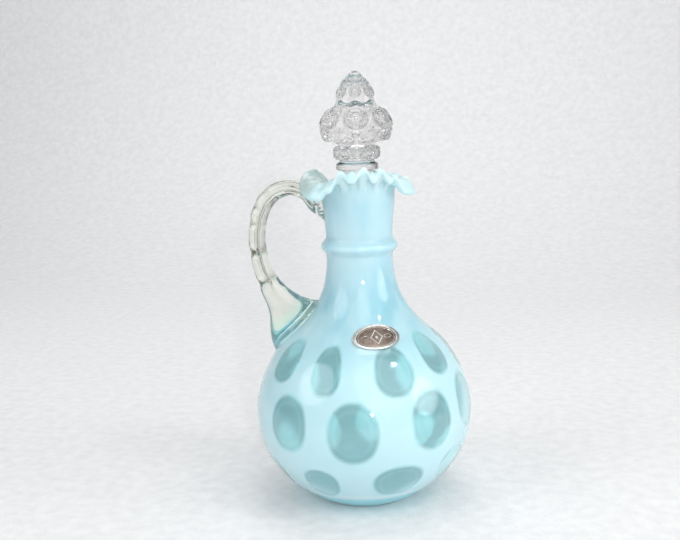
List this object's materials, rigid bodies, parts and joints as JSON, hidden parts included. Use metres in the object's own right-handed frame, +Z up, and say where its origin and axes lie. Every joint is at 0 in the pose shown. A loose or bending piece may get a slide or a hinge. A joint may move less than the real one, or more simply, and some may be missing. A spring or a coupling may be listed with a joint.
{
  "type": "cruet",
  "caption": "Small blown cruet of blue opalescent coin dot glass with a ruffled rim, a crimped clear handle and a pressed bull's-eye stopper",
  "frame": {"origin": "centre of the flat base, on the surface that it stands on", "axes": "+Z up along the axis of the bottle, -X towards the handle, +X towards the pouring lip, -Y the front"},
  "size_m": [0.0992, 0.097, 0.19],
  "materials": {
    "opal_glass": "blown, opalescent blue with clear dots",
    "handle_glass": "fire polished, clear",
    "stopper_glass": "pressed, clear",
    "label_foil": "embossed foil, bronze field with a silver border"
  },
  "bodies": {
    "cruet": {"cruet_body": "opal_glass", "applied_handle": "handle_glass", "foil_label": "label_foil"},
    "stopper": {"stopper": "stopper_glass"}
  },
  "joints": [
    {"name": "stopper_lift", "type": "slide", "parent": "cruet", "child": "stopper", "axis": [0, 0, 1], "range_m": [0, 0.06]}
  ]
}
